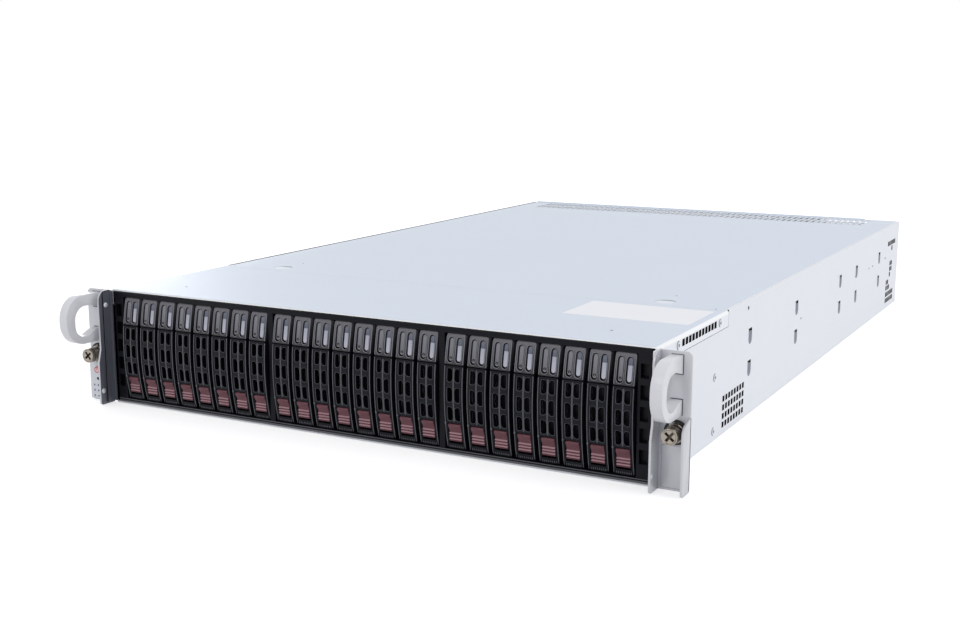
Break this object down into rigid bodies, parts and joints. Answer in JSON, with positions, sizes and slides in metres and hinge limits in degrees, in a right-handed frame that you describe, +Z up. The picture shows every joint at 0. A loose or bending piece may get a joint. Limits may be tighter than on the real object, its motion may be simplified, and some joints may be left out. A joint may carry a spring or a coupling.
{
  "type": "rack server",
  "caption": "Flat rack-mount server with front rows of upright hot-swap drive trays, ear handles, sliding top cover and pull-out power supplies.",
  "frame": {"origin": "under the middle of the whole server, on the plane of its underside", "axes": "+X across the rack, +Y from the front to the back, +Z up"},
  "size_m": [0.4826, 0.7926, 0.0889],
  "materials": {
    "zinc_steel": "fine satin zinc-coated sheet",
    "black_front": "satin black",
    "cage_steel": "black painted sheet",
    "green_board": "solder-resist green",
    "ear_paint": "satin silver-grey paint",
    "handle_paint": "pale grey paint",
    "panel_plastic": "pale grey, satin",
    "fan_plastic": "black, moulded",
    "heatsink_aluminium": "bare",
    "memory_board": "circuit board",
    "nickel": "nickel-plated",
    "button_plastic": "glossy",
    "latch_plastic": "mauve, moulded",
    "tray_plastic": "satin black"
  },
  "bodies": {
    "chassis": {"chassis_tub": "zinc_steel", "front_cover": "zinc_steel", "drive_bay_frame": "black_front", "drive_cage": "cage_steel", "backplane": "green_board", "ear_left": "ear_paint", "ear_right": "ear_paint", "handle_left": "handle_paint", "handle_right": "handle_paint", "control_panel": "panel_plastic", "rear_panel": "zinc_steel", "psu_cage": "zinc_steel", "fan_wall": "zinc_steel", "fan_frames": "fan_plastic", "motherboard": "green_board", "cpu_heatsinks": "heatsink_aluminium", "memory_modules": "memory_board", "air_shroud": "fan_plastic"},
    "drive_tray_01": {"drive_tray_01": "tray_plastic"},
    "drive_tray_02": {"drive_tray_02": "tray_plastic"},
    "drive_tray_03": {"drive_tray_03": "tray_plastic"},
    "drive_tray_04": {"drive_tray_04": "tray_plastic"},
    "drive_tray_05": {"drive_tray_05": "tray_plastic"},
    "drive_tray_06": {"drive_tray_06": "tray_plastic"},
    "drive_tray_07": {"drive_tray_07": "tray_plastic"},
    "drive_tray_08": {"drive_tray_08": "tray_plastic"},
    "drive_tray_09": {"drive_tray_09": "tray_plastic"},
    "drive_tray_10": {"drive_tray_10": "tray_plastic"},
    "drive_tray_11": {"drive_tray_11": "tray_plastic"},
    "drive_tray_12": {"drive_tray_12": "tray_plastic"},
    "drive_tray_13": {"drive_tray_13": "tray_plastic"},
    "drive_tray_14": {"drive_tray_14": "tray_plastic"},
    "drive_tray_15": {"drive_tray_15": "tray_plastic"},
    "drive_tray_16": {"drive_tray_16": "tray_plastic"},
    "drive_tray_17": {"drive_tray_17": "tray_plastic"},
    "drive_tray_18": {"drive_tray_18": "tray_plastic"},
    "drive_tray_19": {"drive_tray_19": "tray_plastic"},
    "drive_tray_20": {"drive_tray_20": "tray_plastic"},
    "drive_tray_21": {"drive_tray_21": "tray_plastic"},
    "drive_tray_22": {"drive_tray_22": "tray_plastic"},
    "drive_tray_23": {"drive_tray_23": "tray_plastic"},
    "drive_tray_24": {"drive_tray_24": "tray_plastic"},
    "tray_lever_24": {"tray_lever_24": "tray_plastic"},
    "tray_latch_24": {"tray_latch_24": "latch_plastic"},
    "top_cover": {"top_cover": "zinc_steel"},
    "cover_release_left": {"cover_release_left": "zinc_steel"},
    "thumbscrew_left": {"thumbscrew_left": "nickel"},
    "cover_release_right": {"cover_release_right": "zinc_steel"},
    "thumbscrew_right": {"thumbscrew_right": "nickel"},
    "power_button": {"power_button": "button_plastic"},
    "reset_button": {"reset_button": "button_plastic"},
    "psu_lower": {"psu_lower": "zinc_steel"},
    "psu_latch_lower": {"psu_latch_lower": "latch_plastic"},
    "psu_fan_lower": {"psu_fan_lower": "fan_plastic"},
    "psu_upper": {"psu_upper": "zinc_steel"},
    "psu_latch_upper": {"psu_latch_upper": "latch_plastic"},
    "psu_fan_upper": {"psu_fan_upper": "fan_plastic"},
    "fan_rotor_1": {"fan_rotor_1": "fan_plastic"},
    "fan_rotor_2": {"fan_rotor_2": "fan_plastic"},
    "fan_rotor_3": {"fan_rotor_3": "fan_plastic"}
  },
  "joints": [
    {"name": "drive_tray_01_slide", "type": "slide", "parent": "chassis", "child": "drive_tray_01", "axis": [0, -1, 0], "range_m": [0, 0.1]},
    {"name": "drive_tray_02_slide", "type": "slide", "parent": "chassis", "child": "drive_tray_02", "axis": [0, -1, 0], "range_m": [0, 0.1]},
    {"name": "drive_tray_03_slide", "type": "slide", "parent": "chassis", "child": "drive_tray_03", "axis": [0, -1, 0], "range_m": [0, 0.1]},
    {"name": "drive_tray_04_slide", "type": "slide", "parent": "chassis", "child": "drive_tray_04", "axis": [0, -1, 0], "range_m": [0, 0.1]},
    {"name": "drive_tray_05_slide", "type": "slide", "parent": "chassis", "child": "drive_tray_05", "axis": [0, -1, 0], "range_m": [0, 0.1]},
    {"name": "drive_tray_06_slide", "type": "slide", "parent": "chassis", "child": "drive_tray_06", "axis": [0, -1, 0], "range_m": [0, 0.1]},
    {"name": "drive_tray_07_slide", "type": "slide", "parent": "chassis", "child": "drive_tray_07", "axis": [0, -1, 0], "range_m": [0, 0.1]},
    {"name": "drive_tray_08_slide", "type": "slide", "parent": "chassis", "child": "drive_tray_08", "axis": [0, -1, 0], "range_m": [0, 0.1]},
    {"name": "drive_tray_09_slide", "type": "slide", "parent": "chassis", "child": "drive_tray_09", "axis": [0, -1, 0], "range_m": [0, 0.1]},
    {"name": "drive_tray_10_slide", "type": "slide", "parent": "chassis", "child": "drive_tray_10", "axis": [0, -1, 0], "range_m": [0, 0.1]},
    {"name": "drive_tray_11_slide", "type": "slide", "parent": "chassis", "child": "drive_tray_11", "axis": [0, -1, 0], "range_m": [0, 0.1]},
    {"name": "drive_tray_12_slide", "type": "slide", "parent": "chassis", "child": "drive_tray_12", "axis": [0, -1, 0], "range_m": [0, 0.1]},
    {"name": "drive_tray_13_slide", "type": "slide", "parent": "chassis", "child": "drive_tray_13", "axis": [0, -1, 0], "range_m": [0, 0.1]},
    {"name": "drive_tray_14_slide", "type": "slide", "parent": "chassis", "child": "drive_tray_14", "axis": [0, -1, 0], "range_m": [0, 0.1]},
    {"name": "drive_tray_15_slide", "type": "slide", "parent": "chassis", "child": "drive_tray_15", "axis": [0, -1, 0], "range_m": [0, 0.1]},
    {"name": "drive_tray_16_slide", "type": "slide", "parent": "chassis", "child": "drive_tray_16", "axis": [0, -1, 0], "range_m": [0, 0.1]},
    {"name": "drive_tray_17_slide", "type": "slide", "parent": "chassis", "child": "drive_tray_17", "axis": [0, -1, 0], "range_m": [0, 0.1]},
    {"name": "drive_tray_18_slide", "type": "slide", "parent": "chassis", "child": "drive_tray_18", "axis": [0, -1, 0], "range_m": [0, 0.1]},
    {"name": "drive_tray_19_slide", "type": "slide", "parent": "chassis", "child": "drive_tray_19", "axis": [0, -1, 0], "range_m": [0, 0.1]},
    {"name": "drive_tray_20_slide", "type": "slide", "parent": "chassis", "child": "drive_tray_20", "axis": [0, -1, 0], "range_m": [0, 0.1]},
    {"name": "drive_tray_21_slide", "type": "slide", "parent": "chassis", "child": "drive_tray_21", "axis": [0, -1, 0], "range_m": [0, 0.1]},
    {"name": "drive_tray_22_slide", "type": "slide", "parent": "chassis", "child": "drive_tray_22", "axis": [0, -1, 0], "range_m": [0, 0.1]},
    {"name": "drive_tray_23_slide", "type": "slide", "parent": "chassis", "child": "drive_tray_23", "axis": [0, -1, 0], "range_m": [0, 0.1]},
    {"name": "drive_tray_24_slide", "type": "slide", "parent": "chassis", "child": "drive_tray_24", "axis": [0, -1, 0], "range_m": [0, 0.1]},
    {"name": "tray_lever_24_swing", "type": "hinge", "parent": "drive_tray_24", "child": "tray_lever_24", "pos_m": [0.19853, -0.36092, 0.061], "axis": [-1, 0, 0], "range_deg": [0, 38]},
    {"name": "tray_latch_24_press", "type": "slide", "parent": "tray_lever_24", "child": "tray_latch_24", "axis": [0, 1, 0], "range_m": [0, 0.0012], "stiffness_N_per_m": 600},
    {"name": "top_cover_slide", "type": "slide", "parent": "chassis", "child": "top_cover", "axis": [0, 1, 0], "range_m": [0, 0.013]},
    {"name": "cover_release_left_press", "type": "slide", "parent": "top_cover", "child": "cover_release_left", "axis": [0, 0, -1], "range_m": [0, 0.0025], "stiffness_N_per_m": 800},
    {"name": "thumbscrew_left_turn", "type": "hinge", "parent": "chassis", "child": "thumbscrew_left", "pos_m": [-0.23255, -0.35975, 0.0375], "axis": [0, 1, 0], "continuous": true},
    {"name": "cover_release_right_press", "type": "slide", "parent": "top_cover", "child": "cover_release_right", "axis": [0, 0, -1], "range_m": [0, 0.0025], "stiffness_N_per_m": 800},
    {"name": "thumbscrew_right_turn", "type": "hinge", "parent": "chassis", "child": "thumbscrew_right", "pos_m": [0.23255, -0.35975, 0.0375], "axis": [0, 1, 0], "continuous": true},
    {"name": "power_button_press", "type": "slide", "parent": "chassis", "child": "power_button", "axis": [0, 1, 0], "range_m": [0, 0.0008], "stiffness_N_per_m": 400},
    {"name": "reset_button_press", "type": "slide", "parent": "chassis", "child": "reset_button", "axis": [0, 1, 0], "range_m": [0, 0.0005], "stiffness_N_per_m": 400},
    {"name": "psu_lower_slide", "type": "slide", "parent": "chassis", "child": "psu_lower", "axis": [0, 1, 0], "range_m": [0, 0.25]},
    {"name": "psu_latch_lower_press", "type": "slide", "parent": "psu_lower", "child": "psu_latch_lower", "axis": [-1, 0, 0], "range_m": [0, 0.002], "stiffness_N_per_m": 600},
    {"name": "psu_fan_lower_spin", "type": "hinge", "parent": "psu_lower", "child": "psu_fan_lower", "pos_m": [0.1602, 0.34825, 0.0213], "axis": [0, 1, 0], "continuous": true},
    {"name": "psu_upper_slide", "type": "slide", "parent": "chassis", "child": "psu_upper", "axis": [0, 1, 0], "range_m": [0, 0.25]},
    {"name": "psu_latch_upper_press", "type": "slide", "parent": "psu_upper", "child": "psu_latch_upper", "axis": [-1, 0, 0], "range_m": [0, 0.002], "stiffness_N_per_m": 600},
    {"name": "psu_fan_upper_spin", "type": "hinge", "parent": "psu_upper", "child": "psu_fan_upper", "pos_m": [0.1602, 0.34825, 0.0625], "axis": [0, 1, 0], "continuous": true},
    {"name": "fan_rotor_1_spin", "type": "hinge", "parent": "chassis", "child": "fan_rotor_1", "pos_m": [-0.132, -0.11475, 0.0427], "axis": [0, 1, 0], "continuous": true},
    {"name": "fan_rotor_2_spin", "type": "hinge", "parent": "chassis", "child": "fan_rotor_2", "pos_m": [0, -0.11475, 0.0427], "axis": [0, 1, 0], "continuous": true},
    {"name": "fan_rotor_3_spin", "type": "hinge", "parent": "chassis", "child": "fan_rotor_3", "pos_m": [0.132, -0.11475, 0.0427], "axis": [0, 1, 0], "continuous": true}
  ]
}
